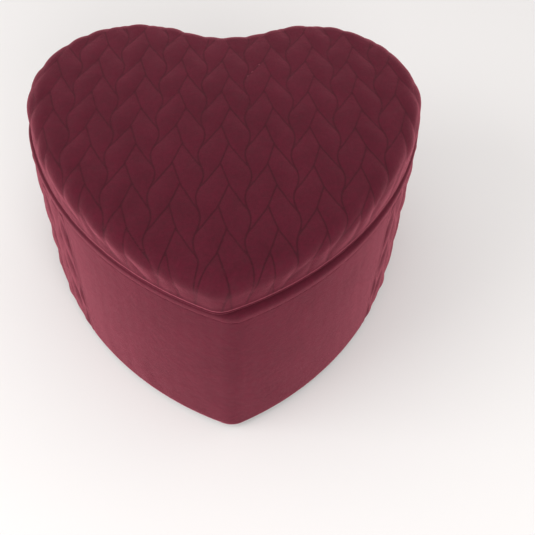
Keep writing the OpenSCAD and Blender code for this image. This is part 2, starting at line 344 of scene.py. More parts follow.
# ---------------------------------------------------------------- meshes


def new_object(name, verts, faces, attrs=None):
    """A smooth mesh object whose faces point outwards, with values per point as attributes."""
    mesh = bpy.data.meshes.new(name)
    verts = np.asarray(verts, float)
    mesh.from_pydata(verts.tolist(), [], faces)
    mesh.validate()
    for key, values in (attrs or {}).items():
        a = mesh.attributes.new(key, "FLOAT", "POINT")
        a.data.foreach_set("value", np.asarray(values, np.float32))
    mesh.update()
    obj = bpy.data.objects.new(name, mesh)
    bpy.context.scene.collection.objects.link(obj)
    tri = np.array([(f[0], f[k], f[k + 1]) for f in faces for k in range(1, len(f) - 1)])
    a, b, c = verts[tri[:, 0]], verts[tri[:, 1]], verts[tri[:, 2]]
    if np.einsum("ij,ij->i", a, np.cross(b, c)).sum() < 0:
        mesh.flip_normals()
    mesh.polygons.foreach_set("use_smooth", [True] * len(mesh.polygons))
    return obj


def sweep(name, grid, around, attrs=None):
    """Solid through profiles: grid[column, point], each profile a closed loop."""
    c, p = grid.shape[:2]
    idx = np.arange(c * p).reshape(c, p)
    nxt = np.roll(idx, -1, 1)
    if around:
        a, b = idx, np.roll(idx, -1, 0)
        an, bn = nxt, np.roll(nxt, -1, 0)
    else:
        a, b, an, bn = idx[:-1], idx[1:], nxt[:-1], nxt[1:]
    faces = np.stack([a, b, bn, an], -1).reshape(-1, 4).tolist()
    if not around:
        faces += [idx[0].tolist(), idx[-1][::-1].tolist()]
    return new_object(name, grid.reshape(-1, 3), faces, {k: v.ravel() for k, v in (attrs or {}).items()})


# ---------------------------------------------------------------- materials


def shader(name):
    mat = bpy.data.materials.new(name)
    mat.use_nodes = True
    tree = mat.node_tree
    return mat, tree.nodes, tree.links, tree.nodes["Principled BSDF"]


def noise(nodes, links, coord, scale, detail=3.0, rough=0.55):
    """Noise with the given number of waves per metre."""
    n = nodes.new("ShaderNodeTexNoise")
    n.inputs["Scale"].default_value = scale
    n.inputs["Detail"].default_value = detail
    n.inputs["Roughness"].default_value = rough
    links.new(coord, n.inputs["Vector"])
    return n.outputs["Fac"]


def remap(nodes, links, value, lo, hi, to_lo, to_hi):
    n = nodes.new("ShaderNodeMapRange")
    for key, v in zip(("From Min", "From Max", "To Min", "To Max"), (lo, hi, to_lo, to_hi)):
        n.inputs[key].default_value = v
    links.new(value, n.inputs["Value"])
    return n.outputs["Result"]


def maths(nodes, links, op, a, b):
    n = nodes.new("ShaderNodeMath")
    n.operation = op
    for k, v in enumerate((a, b)):
        if isinstance(v, (int, float)):
            n.inputs[k].default_value = v
        else:
            links.new(v, n.inputs[k])
    return n.outputs[0]


def mixed(nodes, links, a, share_a, b, share_b):
    """A weighted sum of two values."""
    scaled = [maths(nodes, links, "MULTIPLY", v, share) for v, share in ((a, share_a), (b, share_b))]
    return maths(nodes, links, "ADD", *scaled)


def blend_colour(nodes, links, fac, a, b):
    n = nodes.new("ShaderNodeMix")
    n.data_type = "RGBA"
    for key, v in (("A", a), ("B", b)):
        socket = [i for i in n.inputs if i.name == key and i.type == "RGBA"][0]
        if isinstance(v, tuple):
            socket.default_value = (*v, 1)
        else:
            links.new(v, socket)
    fac_in = [i for i in n.inputs if i.name == "Factor" and i.type == "VALUE"][0]
    if isinstance(fac, (int, float)):
        fac_in.default_value = fac
    else:
        links.new(fac, fac_in)
    return [o for o in n.outputs if o.type == "RGBA"][0]


def bump(nodes, links, bsdf, height, distance, strength=1.0):
    n = nodes.new("ShaderNodeBump")
    n.inputs["Strength"].default_value = strength
    n.inputs["Distance"].default_value = distance
    links.new(height, n.inputs["Height"])
    links.new(n.outputs["Normal"], bsdf.inputs["Normal"])


def object_coords(nodes):
    return nodes.new("ShaderNodeTexCoord").outputs["Object"]


VELVET_DARK, VELVET_LIGHT = (0.058, 0.0038, 0.0115), (0.085, 0.0070, 0.0180)
# painted shade of the stitch grooves, and how much of it is mixed into the velvet
STITCH_PAINTED_SHADE, STITCH_WEIGHT = (0.022, 0.002, 0.005), 0.62
STITCH_CORE, STITCH_EDGE = 0.3 * MM, 1.5 * MM  # the painted shade in the stitch grooves fades out between these distances
SHEEN_ROUGHNESS, SHEEN_TINT = 0.42, (0.55, 0.135, 0.185)
PATCHES, BRUSHED, NAP_COARSE, NAP_FINE, PILE = 22, 130, 250, 620, 2200  # waves per metre
GRAIN = (0.74, 1.26)


def velvet(name):
    """Velvet: a dark ground, a pink sheen, grain of the pile, and painted shade along the stitch grooves."""
    mat, nodes, links, bsdf = shader(name)
    co = object_coords(nodes)
    patches = noise(nodes, links, co, PATCHES, 2.0)
    brushed = noise(nodes, links, co, BRUSHED, 3.0)
    pile = noise(nodes, links, co, PILE, 2.0)
    tone = remap(nodes, links, mixed(nodes, links, patches, 0.55, brushed, 0.45), 0.3, 0.7, 0.0, 1.0)
    colour = blend_colour(nodes, links, tone, VELVET_DARK, VELVET_LIGHT)
    fine, coarse = noise(nodes, links, co, NAP_FINE, 2.0), noise(nodes, links, co, NAP_COARSE, 2.0)
    nap = mixed(nodes, links, fine, 0.5, coarse, 0.5)
    grain = remap(nodes, links, mixed(nodes, links, pile, 0.4, nap, 0.6), 0.3, 0.7, *GRAIN)
    n = nodes.new("ShaderNodeVectorMath")
    n.operation = "SCALE"
    links.new(colour, n.inputs[0])
    links.new(grain, n.inputs["Scale"])
    at = nodes.new("ShaderNodeAttribute")
    at.attribute_name = "stitch"
    # painted shade: the colour darkens near each stitch line, where the groove lies
    near = remap(nodes, links, at.outputs["Fac"], STITCH_CORE, STITCH_EDGE, STITCH_WEIGHT, 0.0)
    links.new(blend_colour(nodes, links, near, n.outputs[0], STITCH_PAINTED_SHADE), bsdf.inputs["Base Color"])
    links.new(remap(nodes, links, brushed, 0.3, 0.7, 0.75, 0.95), bsdf.inputs["Roughness"])
    bsdf.inputs["Specular IOR Level"].default_value = 0.15
    bsdf.inputs["Sheen Weight"].default_value = 1.0
    bsdf.inputs["Sheen Roughness"].default_value = SHEEN_ROUGHNESS
    bsdf.inputs["Sheen Tint"].default_value = (*SHEEN_TINT, 1)
    height = maths(nodes, links, "ADD", pile, maths(nodes, links, "MULTIPLY", brushed, 1.5))
    bump(nodes, links, bsdf, height, 0.0004, 0.6)
    return mat


def cloth(name, dark, light, roughness=0.85):
    """Non-woven cloth with small pressed dots, or lining cloth."""
    mat, nodes, links, bsdf = shader(name)
    co = object_coords(nodes)
    fibres = noise(nodes, links, co, 900, 4.0, 0.7)
    soft = noise(nodes, links, co, 60, 2.0)
    cells = nodes.new("ShaderNodeTexVoronoi")
    cells.inputs["Scale"].default_value = 650
    cells.inputs["Randomness"].default_value = 0.1
    links.new(co, cells.inputs["Vector"])
    dots = remap(nodes, links, cells.outputs["Distance"], 0.15, 0.4, 0.0, 1.0)
    tone = remap(nodes, links, mixed(nodes, links, fibres, 0.6, soft, 0.4), 0.35, 0.65, 0, 1)
    links.new(blend_colour(nodes, links, tone, dark, light), bsdf.inputs["Base Color"])
    links.new(remap(nodes, links, fibres, 0.3, 0.7, roughness - 0.08, roughness + 0.08), bsdf.inputs["Roughness"])
    bsdf.inputs["Specular IOR Level"].default_value = 0.3
    bsdf.inputs["Sheen Weight"].default_value = 0.25
    bsdf.inputs["Sheen Tint"].default_value = (0.5, 0.5, 0.55, 1)
    bump(nodes, links, bsdf, maths(nodes, links, "ADD", dots, fibres), 0.00025, 0.7)
    return mat


PLY_WAVES = 105


def wood(name, dark, light, grained, plies, roughness):
    """Wood or board, with fibres along X where it is grained, and with plies seen on its edges."""
    mat, nodes, links, bsdf = shader(name)
    co = object_coords(nodes)
    stretch = nodes.new("ShaderNodeMapping")
    stretch.inputs["Scale"].default_value = (0.12 if grained else 1, 1, 1)
    links.new(co, stretch.inputs["Vector"])
    fibres = noise(nodes, links, stretch.outputs["Vector"], 420, 5.0, 0.65)
    broad = noise(nodes, links, stretch.outputs["Vector"], 40, 2.0)
    tone = remap(nodes, links, mixed(nodes, links, fibres, 0.6, broad, 0.4), 0.35, 0.65, 0, 1)
    colour = blend_colour(nodes, links, tone, dark, light)
    if plies:
        wave = nodes.new("ShaderNodeTexWave")
        wave.bands_direction = "Z"
        wave.inputs["Scale"].default_value = PLY_WAVES
        wave.inputs["Distortion"].default_value = 0.6
        links.new(co, wave.inputs["Vector"])
        band = remap(nodes, links, wave.outputs["Fac"], 0.4, 0.6, 0, 0.45)
        colour = blend_colour(nodes, links, band, colour, dark)
    links.new(colour, bsdf.inputs["Base Color"])
    links.new(remap(nodes, links, fibres, 0.3, 0.7, roughness - 0.1, roughness + 0.1), bsdf.inputs["Roughness"])
    bump(nodes, links, bsdf, fibres, 0.0003, 0.5)
    return mat


def cellular(name, dark, light, scale, depth):
    """Foam cells or wadding fibres."""
    mat, nodes, links, bsdf = shader(name)
    co = object_coords(nodes)
    cells = nodes.new("ShaderNodeTexVoronoi")
    cells.inputs["Scale"].default_value = scale
    links.new(co, cells.inputs["Vector"])
    fine = noise(nodes, links, co, scale * 1.7, 3.0)
    tone = remap(nodes, links, maths(nodes, links, "MULTIPLY", cells.outputs["Distance"], fine), 0.05, 0.35, 0, 1)
    links.new(blend_colour(nodes, links, tone, dark, light), bsdf.inputs["Base Color"])
    links.new(remap(nodes, links, fine, 0.3, 0.7, 0.85, 1.0), bsdf.inputs["Roughness"])
    bsdf.inputs["Specular IOR Level"].default_value = 0.2
    bump(nodes, links, bsdf, cells.outputs["Distance"], depth, 0.8)
    return mat


def metal(name):
    """Rubbed zinc plating."""
    mat, nodes, links, bsdf = shader(name)
    co = object_coords(nodes)
    rub = noise(nodes, links, co, 700, 4.0)
    tone = remap(nodes, links, rub, 0.35, 0.65, 0, 1)
    colour = blend_colour(nodes, links, tone, (0.36, 0.36, 0.38), (0.58, 0.58, 0.6))
    links.new(colour, bsdf.inputs["Base Color"])
    bsdf.inputs["Metallic"].default_value = 1.0
    links.new(remap(nodes, links, rub, 0.3, 0.7, 0.28, 0.45), bsdf.inputs["Roughness"])
    bump(nodes, links, bsdf, rub, 0.00005, 0.5)
    return mat


def plastic(name):
    """Worn black plastic."""
    mat, nodes, links, bsdf = shader(name)
    co = object_coords(nodes)
    grain = noise(nodes, links, co, 1500, 3.0)
    wear = noise(nodes, links, co, 90, 3.0)
    worn = remap(nodes, links, wear, 0.4, 0.7, 0, 1)
    colour = blend_colour(nodes, links, worn, (0.012, 0.012, 0.013), (0.035, 0.034, 0.033))
    links.new(colour, bsdf.inputs["Base Color"])
    links.new(remap(nodes, links, wear, 0.3, 0.7, 0.35, 0.6), bsdf.inputs["Roughness"])
    bump(nodes, links, bsdf, grain, 0.0001, 0.5)
    return mat


M_QUILTED, M_PLAIN = velvet("quilted velvet"), velvet("plain velvet")
M_BLACK = cloth("black non-woven cloth", (0.006, 0.006, 0.007), (0.020, 0.020, 0.022))
M_LINING = cloth("lining cloth", (0.008, 0.009, 0.013), (0.026, 0.028, 0.036), 0.7)
M_PLY = wood("plywood", (0.36, 0.22, 0.11), (0.62, 0.45, 0.27), True, True, 0.6)
M_HARD = wood("hardboard", (0.13, 0.07, 0.035), (0.24, 0.14, 0.07), False, False, 0.5)
M_FOAM = cellular("foam", (0.62, 0.54, 0.36), (0.84, 0.78, 0.60), 900, 0.0006)
M_WADDING = cellular("wadding", (0.70, 0.70, 0.68), (0.90, 0.90, 0.88), 350, 0.0010)
M_STEEL, M_PLASTIC = metal("zinc-plated steel"), plastic("black plastic")


def finish(obj, body, mat, node):
    """Gives a soft piece its material and body, and hides the CAD node that it stands for."""
    obj.data.materials.append(mat)
    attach(obj, body)
    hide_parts(node)


# ---------------------------------------------------------------- walls of the box

BASE_Z, RIM_Z = 9 * MM, 218 * MM
STEP = 1.5 * MM
WALL = Wall()
WALL_SHIFT = TIP_A * 0.3  # where the quilting starts on the walls
WALL_PUFF = 2.6 * MM
PUFF_MEAN = 0.55  # the relief's level that lies on the drawn surface
WALL_SAG = 0.8 * MM
QUILTED_T, PLAIN_T = 4 * MM, 2 * MM
HEM_IN = 34 * MM  # how far the velvet runs in under the foot
TOPSTITCH_IN, TOPSTITCH_W, TOPSTITCH_D = 6 * MM, 1.2 * MM, 0.6 * MM
FAR = 20 * MM  # the stitch attribute where there is no stitch


def mirrored(grid):
    """The same loops on the other side of the heart, turned round so that faces keep their sense."""
    return (grid * np.array([-1.0, 1.0, 1.0]))[::-1]


def panel_rows(count):
    """Heights of a wall panel's rows, closer together at the seam under the rim."""
    rows = np.linspace(BASE_Z + 1.6 * MM, RIM_Z - 1.4 * MM, count)
    return np.concatenate([rows, RIM_Z - np.array([0.8, 0.5, 0.35]) * MM])


def hem_and_back(s, thick):
    """Loops of a wall panel before and after its outer face: the hem under the foot, and the inner face."""
    top, hem = RIM_Z - 0.2 * MM, BASE_Z + 1.4 * MM
    under = [(HEM_IN, hem), (HEM_IN, BASE_Z), (20 * MM, BASE_Z), (9 * MM, BASE_Z), (thick, BASE_Z + 0.2 * MM)]
    inside = [(thick * 0.75, top)] + [(thick, z) for z in (top, 165 * MM, 112 * MM, 60 * MM, hem)]
    return [np.concatenate([WALL.at(s(z), z, -d)[:, None] for d, z in part], 1) for part in (under, inside)]


def wall_bow(v):
    """0 at the foot and the rim, 1 half way up."""
    return np.sin(math.pi * (v - BASE_Z) / (RIM_Z - BASE_Z))


def quilted_panel(side):
    """The quilted velvet of one side, from the seam to the cleft."""
    z = panel_rows(138)
    t = np.linspace(0, 1, int((WALL.end - WALL.seam(0.11)[0]) / STEP))

    def along(h):
        seam = WALL.seam(h)
        return (seam + (WALL.end - seam) * t[:, None]).squeeze()

    uu, vv = along(z), np.broadcast_to(z, (len(t), len(z)))
    dx, dz = QUILT.snap(uu + WALL_SHIFT[0], vv + WALL_SHIFT[1], 0.45 * STEP)
    inner = (slice(1, -1), slice(1, -1))
    u, v = uu.copy(), vv.copy()
    u[inner] += dx[inner]
    v[inner] += dz[inner]
    puff = QUILT.field(QUILT.puff, u + WALL_SHIFT[0], v + WALL_SHIFT[1])
    dist = QUILT.field(QUILT.dist, u + WALL_SHIFT[0], v + WALL_SHIFT[1])
    edge = np.minimum.reduce([
        ramp(RIM_Z - v, 0, 2.5 * MM), ramp(v - BASE_Z, 0.5 * MM, 10 * MM),
        ramp(u - along(z)[0], 0, 7 * MM), ramp(WALL.end - u, 0, 9 * MM),
    ])
    relief = WALL_PUFF * (puff - PUFF_MEAN) * (0.3 + 0.7 * edge)
    out = relief + WALL_SAG * wall_bow(v) * edge - WALL_SAG * (1 - edge)
    under, inside = hem_and_back(along, QUILTED_T)
    grid = np.concatenate([under, WALL.at(u, v, out), inside], 1)
    st = np.full(grid.shape[:2], FAR)
    st[:, under.shape[1]:under.shape[1] + len(z)] = dist
    if side < 0:
        grid, st = mirrored(grid), st[::-1]
    hand = "left" if side < 0 else "right"
    obj = sweep(hand + "_quilted_velvet", box_place(grid), False, {"stitch": st})
    finish(obj, "box", M_QUILTED, hand + "_quilted_panel")


def front_velvet():
    """The plain velvet that wraps the tip from seam to seam."""
    z = panel_rows(100)
    t = np.linspace(-1, 1, 300)

    def along(h):
        return (WALL.seam(h) * t[:, None]).squeeze()

    u, v = along(z), np.broadcast_to(z, (len(t), len(z)))
    end = WALL.seam(z) - np.abs(u)
    edge = np.minimum.reduce([
        ramp(RIM_Z - v, 0, 1.2 * MM), ramp(v - BASE_Z, 0.5 * MM, 7 * MM), ramp(end, 0, 4 * MM),
    ])
    streaks = 0.12 * MM * wobble(u + 0.05 * v, (17 * MM, 29 * MM, 41 * MM), 3)
    low = ramp(90 * MM - v, 0, 70 * MM)
    folds = 0.4 * MM * low * wobble(u + 0.35 * v, (33 * MM, 52 * MM, 78 * MM), 5)
    belly = WALL_SAG * wall_bow(v)
    topstitch = np.exp(-(((end - TOPSTITCH_IN) / TOPSTITCH_W) ** 2)) * TOPSTITCH_D
    out = (belly + streaks + folds) * edge - 0.15 * MM * (1 - edge) - topstitch
    under, inside = hem_and_back(along, PLAIN_T)
    grid = np.concatenate([under, WALL.at(u, v, out), inside], 1)
    st = np.full(grid.shape[:2], FAR)
    # the distance to the topstitch brings painted shade to its groove
    st[:, under.shape[1]:under.shape[1] + len(z)] = np.minimum(np.abs(end - TOPSTITCH_IN), FAR)
    obj = sweep("front_velvet", box_place(grid), False, {"stitch": st})
    finish(obj, "box", M_PLAIN, "front_panel")


RIM_FACE, RIM_H = 43 * MM, 12 * MM
RIM_VELVET_T, RIM_FOAM_IN = 2 * MM, 2.4 * MM
RIM_TURN_DOWN = 196 * MM  # foot of the velvet inside the box
GATHER, GATHER_FALL = 0.25 * MM, 4 * MM
ROLL_OUTSIDE, ROLL_INSIDE = 0.42, 0.8  # the roll's outside is squarer than its inside


def bulge(v, roundness):
    """A cosine or sine made squarer by a roundness below 1."""
    return np.sign(v) * np.abs(v) ** roundness


def rim_loop(t, angles):
    """(inset, height) along the rim roll, t under its outer face, from outside over the top to inside."""
    half = RIM_FACE / 2
    out = []
    for a in angles:
        k = ROLL_OUTSIDE if a < math.pi / 2 else ROLL_INSIDE
        out.append((half - (half - t) * bulge(math.cos(a), k), RIM_Z + (RIM_H - t) * bulge(math.sin(a), k)))
    return out


def ring_loops(heart, loops, step):
    """Grid of profile points round the whole heart, each loop at its inset and height."""
    rings = [heart.ring(d, step)[0] for d, _ in loops]
    return np.stack([lift(q, np.full(len(q), z)) for q, (_, z) in zip(rings, loops)], 1)


def rim_pieces():
    """The velvet band over the rim, and the foam roll in it."""
    step = 2.0 * MM
    _, nrm, s = RIM.ring(0.0, step)
    above = [(d, z) for d, z in rim_loop(0, np.linspace(0, math.pi, 41)) if z > RIM_Z + 2.2 * MM]
    seam = [(3.2, -0.1), (0.5, -0.1), (0.12, 0.1), (0.02, 0.4), (0, 0.9), (0, 1.6)]  # inset, height over the seam
    seam = [(d * MM, RIM_Z + z * MM) for d, z in seam]
    loop = seam + above
    loop += [(RIM_FACE, z) for z in (RIM_Z, 214 * MM, 209 * MM, 203 * MM, 198 * MM, RIM_TURN_DOWN)]
    loop += [(RIM_FACE - RIM_VELVET_T, z) for z in (RIM_TURN_DOWN, 206 * MM, 217 * MM)]
    inner = rim_loop(RIM_VELVET_T, np.linspace(math.pi, 0, 15))
    loop += [(d, z) for d, z in inner if z > RIM_Z + 1.2 * MM]
    loop += [(3.2 * MM, RIM_Z + 1.0 * MM)]
    grid = ring_loops(RIM, loop, step)
    # small gathers above the outer seam
    waves = wobble(s, (6.1 * MM, 8.7 * MM, 13.3 * MM), 11)[:, None]
    gather = np.exp(-np.abs(grid[..., 2] - RIM_Z) / GATHER_FALL) * GATHER * waves
    outward = np.zeros(len(loop))
    outward[: len(seam) + sum(d < RIM_FACE / 2 for d, _ in above)] = 1
    grid[..., :2] += nrm[:, None, :] * (gather * outward)[..., None]
    band = sweep("rim_velvet", box_place(grid), True, {"stitch": np.full(grid.shape[:2], FAR)})
    finish(band, "box", M_PLAIN, "rim_band")
    core = rim_loop(RIM_FOAM_IN, np.linspace(0, math.pi, 17))
    core = [(d, z) for d, z in core if z > RIM_Z + 1.4 * MM]
    core = [(5 * MM, RIM_Z + 0.2 * MM)] + core + [(RIM_FACE - 3 * MM, RIM_Z + 0.2 * MM)]
    foam = sweep("rim_foam_roll", box_place(ring_loops(RIM, core, 4 * MM)), True)
    finish(foam, "box", M_FOAM, "rim_foam")


LINING_IN, LINING_FOOT, LINING_TOP, LINING_ROWS = (40.5 * MM, 41.0 * MM), 12.3 * MM, 216.5 * MM, 30
LINING_RIPPLE, LINING_WAVES = 0.4 * MM, (70 * MM, 110 * MM, 31 * MM)


def wall_lining():
    """The lining cloth, a thin upright sheet round the inside of the wall."""
    step = 3 * MM
    cols, nrm, s = RIM.ring(LINING_IN[1], step)
    loops = []
    for k, z in enumerate(np.linspace(LINING_FOOT, LINING_TOP, LINING_ROWS)):
        wave = LINING_RIPPLE * wobble(s + 0.3 * z, LINING_WAVES, 21) * math.sin(math.pi * k / (LINING_ROWS - 1))
        loops.append(lift(cols - nrm * np.abs(wave)[:, None], np.full(len(cols), z)))
    loops += [lift(RIM.ring(LINING_IN[0], step)[0], np.full(len(cols), z)) for z in (LINING_TOP, LINING_FOOT)]
    obj = sweep("wall_lining_cloth", box_place(np.stack(loops, 1)), True)
    finish(obj, "box", M_LINING, "wall_lining")


FOAM_FOOT, FOAM_TOP, FOAM_BACK = 11.5 * MM, 216 * MM, 11.7 * MM
FOAM_GAP, FOAM_CROWN = 0.5 * MM, 0.4 * MM


def foam_wall(name, front, velvet_t, node):
    """A foam sheet between the velvet and the shell, a little crowned; its back is upright."""
    rows = np.linspace(FOAM_FOOT, FOAM_TOP, 24)
    t = np.linspace(-1, 1, 140) if front else np.linspace(0, 1, 140)

    def along(z):
        seam = WALL.seam(z)[0]
        if front:
            return (seam - FOAM_GAP) * t
        return seam + FOAM_GAP + (WALL.end - seam - FOAM_GAP) * t

    crown = FOAM_CROWN * np.sin(math.pi * (rows - rows[0]) / (rows[-1] - rows[0]))
    loops = [WALL.at(along(z), z, c - FOAM_GAP - velvet_t) for z, c in zip(rows, crown)]
    loops += [WALL.at(along(z), z, -FOAM_BACK, False) for z in rows[::-6]]
    grid = np.stack(loops, 1)
    if name.startswith("left"):
        grid = mirrored(grid)
    obj = sweep(name, box_place(grid), False)
    finish(obj, "box", M_FOAM, node)


# ---------------------------------------------------------------- flat and domed plates of the heart's shape


CROWN_C = np.array([0.0, -0.040])  # where the rings of a plate or of the lid's top draw in to
PLATE_STEP = 4 * MM


def plate(name, heart, place, rings):
    """Closed form through rings of (inset, height, share drawn in to the centre)."""
    layers = []
    for d, z, share in rings:
        q = heart.ring(d, PLATE_STEP)[0]
        q = q + (CROWN_C - q) * share
        layers.append(lift(q, np.full(len(q), z)))
    n = len(layers[0])
    verts = np.concatenate(layers + [np.array([[*CROWN_C, rings[0][1]], [*CROWN_C, rings[-1][1]]])])
    faces = []
    for j in range(len(layers) - 1):
        a = np.arange(n) + j * n
        b = a + n
        faces += np.stack([a, np.roll(a, -1), np.roll(b, -1), b], -1).tolist()
    first, last = len(layers) * n, len(layers) * n + 1
    a = np.arange(n)
    faces += np.stack([np.roll(a, -1), a, np.full(n, first)], -1).tolist()
    b = a + (len(layers) - 1) * n
    faces += np.stack([b, np.roll(b, -1), np.full(n, last)], -1).tolist()
    return new_object(name, place(verts), faces)


def in_mm(*rings):
    return [(d * MM, z * MM, share) for d, z, share in rings]


def heart_area(heart, d):
    """Area inside the outline at the inset d."""
    q = heart.ring(d, PLATE_STEP)[0]
    return abs(np.sum(q[:, 0] * np.roll(q[:, 1], -1) - q[:, 1] * np.roll(q[:, 0], -1))) / 2


# ---------------------------------------------------------------- lid

LID_Z, LID_TOP, CROWN, EDGE_R = 230.4 * MM, 282 * MM, 4 * MM, 22 * MM
EDGE_IN = 1.2 * MM
EDGE_Z = LID_TOP - CROWN - EDGE_R  # height and inset of the rounded edge's centre
EDGE_C = EDGE_IN + EDGE_R
COVER_FOOT, COVER_T, COVER_FLARE = LID_Z + 2.9 * MM, 3 * MM, 0.6 * MM
COVER_TURN_IN = 26 * MM  # how far the cover runs in under the lid
SIDE_ROWS, ARC_ROWS, LEAST_COLUMNS = 12, 19, 24
LID_STEP, TOP_STEP = 1.7 * MM, 1.9 * MM
LID_PUFF, HEM_PUFF = 1.7 * MM, 0.12  # the relief's height, and the share of it at the hem
HEM_WAVE, HEM_WAVES = 0.15 * MM, (7 * MM, 11 * MM, 17 * MM)
TIP_STRETCH, TIP_FROM, TIP_TO = 0.35, 15 * MM, 90 * MM  # the cloth is drawn down near the tip


def waver(q):
    """Small moves of the quilting over the lid, as sewing never runs quite true."""
    x, y = q[..., 0] / MM, q[..., 1] / MM
    dx = 0.8 * np.sin(x / 37 + y / 61) + 0.5 * np.sin(y / 17 - x / 83 + 1.3)
    dy = 0.8 * np.sin(y / 43 - x / 71 + 0.6) + 0.5 * np.sin(x / 19 + 2.1)
    return np.stack([dx, dy], -1) * MM


def crown_z(share):
    """Height of the crowned top, the given share of the way to its centre."""
    return LID_TOP - CROWN * (1 - share) ** 2


def under_edge(depth, count):
    """Rings that follow the rounded edge at a depth under it, from its side up to its top."""
    r = EDGE_R - depth
    return [(EDGE_C - r * math.cos(a), EDGE_Z + r * math.sin(a), 0) for a in np.linspace(0, math.pi / 2, count)]


def under_crown(depth, shares):
    return [(EDGE_C, crown_z(k) - depth, k) for k in shares]


def side_rows():
    """Rows from the welt up to where the top begins.

    Each has its length past the top's edge, offset, height, and the normal's outward and upward parts.
    """
    rows = []
    for z in np.linspace(COVER_FOOT, EDGE_Z, SIDE_ROWS, endpoint=False):
        flare = COVER_FLARE * (1 - ramp(z, LID_Z + 3 * MM, LID_Z + 9 * MM))
        rows.append((EDGE_R * math.pi / 2 + EDGE_Z - z, EDGE_R + flare, z, 1.0, 0.0))
    for a in np.linspace(0, math.pi / 2, ARC_ROWS):
        c, k = math.cos(a), math.sin(a)
        rows.append((EDGE_R * (math.pi / 2 - a), EDGE_R * c, EDGE_Z + EDGE_R * k, c, k))
    return rows


def lid_cover():
    """The quilted cover: its side and rounded edge, its crowned top, its hem and its inner face."""
    step = LID_STEP
    edge_p, edge_n, s = LID.ring(EDGE_C, step)
    stretch = TIP_STRETCH + (1 - TIP_STRETCH) * ramp(np.minimum(s, s.max() - s), TIP_FROM, TIP_TO)
    n = len(edge_p)
    verts, dist_all, index_rows, count = [], [], [], 0
    for row, (along, outw, z, nx, nz) in enumerate(side_rows()):
        uv = edge_p + edge_n * (along * stretch)[:, None]
        uv = uv + waver(uv)
        dx, dy = QUILT.snap(uv[:, 0], uv[:, 1], 0.4 * step)
        tang = np.stack([-edge_n[:, 1], edge_n[:, 0]], 1)
        mt = dx * tang[:, 0] + dy * tang[:, 1]
        mn = (dx * edge_n[:, 0] + dy * edge_n[:, 1]) / np.maximum(stretch, 0.6)
        if row == 0:
            mn = mn * 0  # the lowest row keeps its height
        uv2 = uv + tang * mt[:, None] + edge_n * (mn * stretch)[:, None]
        puff = QUILT.field(QUILT.puff, uv2[:, 0], uv2[:, 1])
        dist = QUILT.field(QUILT.dist, uv2[:, 0], uv2[:, 1])
        low = ramp(z, LID_Z + 4 * MM, LID_Z + 20 * MM)
        amp = (HEM_PUFF + (1 - HEM_PUFF) * low) * LID_PUFF * stretch
        off = amp * (puff - PUFF_MEAN) + HEM_WAVE * (1 - low) * wobble(s, HEM_WAVES, 31)
        xy = edge_p + tang * mt[:, None] + edge_n * (outw + nx * off + nz * mn)[:, None]
        verts.append(lift(xy, z + nz * off - nx * mn))
        dist_all.append(dist)
        index_rows.append(np.arange(count, count + n))
        count += n
    # top rings, drawn in towards the crown, with half the columns each time they get twice as dense
    reach = np.linalg.norm(edge_p - CROWN_C, axis=1).max()
    stride = 1
    for share in np.linspace(0, 1, int(reach / TOP_STEP) + 1)[1:-2]:
        while (1 - share) * 2 * stride < 1.0 and n // (stride * 2) >= LEAST_COLUMNS and n % (stride * 2) == 0:
            stride *= 2
        q = (edge_p + (CROWN_C - edge_p) * share)[::stride]
        local = step * stride * (1 - share)
        uv = q + waver(q)
        dx, dy = QUILT.snap(uv[:, 0], uv[:, 1], 0.36 * min(local, TOP_STEP))
        q, uv = q + np.stack([dx, dy], 1), uv + np.stack([dx, dy], 1)
        puff = QUILT.field(QUILT.puff, uv[:, 0], uv[:, 1])
        dist = QUILT.field(QUILT.dist, uv[:, 0], uv[:, 1])
        verts.append(lift(q, crown_z(share) + LID_PUFF * (puff - PUFF_MEAN)))
        dist_all.append(dist)
        index_rows.append(np.arange(count, count + len(q)))
        count += len(q)
    faces = []
    for a, b in zip(index_rows[:-1], index_rows[1:]):
        if len(a) == len(b):
            faces += np.stack([a, np.roll(a, -1), np.roll(b, -1), b], -1).tolist()
        else:
            mid, nxt = a[1::2], np.roll(a[::2], -1)
            faces += np.stack([a[::2], mid, b], -1).tolist()
            faces += np.stack([mid, nxt, np.roll(b, -1), b], -1).tolist()
    top = count
    verts.append(np.array([[*CROWN_C, crown_z(1.0) - 0.2 * MM]]))
    dist_all.append(np.array([FAR / 2]))
    count += 1
    last = index_rows[-1]
    faces += np.stack([last, np.roll(last, -1), np.full(len(last), top)], -1).tolist()
    # hem under the lid, and the inner face
    inner = [
        (1.7 * MM, LID_Z + 3 * MM, 0), (2.0 * MM, LID_Z + 0.2 * MM, 0), (8 * MM, LID_Z, 0),
        (COVER_TURN_IN, LID_Z, 0), (COVER_TURN_IN, LID_Z + 1.3 * MM, 0),
        (EDGE_IN + COVER_T, LID_Z + 1.4 * MM, 0), (EDGE_IN + COVER_T, EDGE_Z, 0),
    ]
    inner += under_edge(COVER_T, 4)[1:] + under_crown(COVER_T + 0.6 * MM, (0.35, 0.7))
    prev = index_rows[0]
    for d, z, share in inner:
        q = LID.ring(d, step)[0]
        q = q + (CROWN_C - q) * share
        verts.append(lift(q, np.full(n, z)))
        dist_all.append(np.full(n, FAR))
        cur = np.arange(count, count + n)
        count += n
        faces += np.stack([np.roll(prev, -1), prev, cur, np.roll(cur, -1)], -1).tolist()
        prev = cur
    verts.append(np.array([[*CROWN_C, crown_z(1.0) - COVER_T - 0.6 * MM]]))
    dist_all.append(np.array([FAR]))
    faces += np.stack([np.roll(prev, -1), prev, np.full(n, count)], -1).tolist()
    verts = lid_place(np.concatenate(verts))
    obj = new_object("lid_quilted_velvet", verts, faces, {"stitch": np.concatenate(dist_all)})
    finish(obj, "lid", M_QUILTED, "lid_cover")


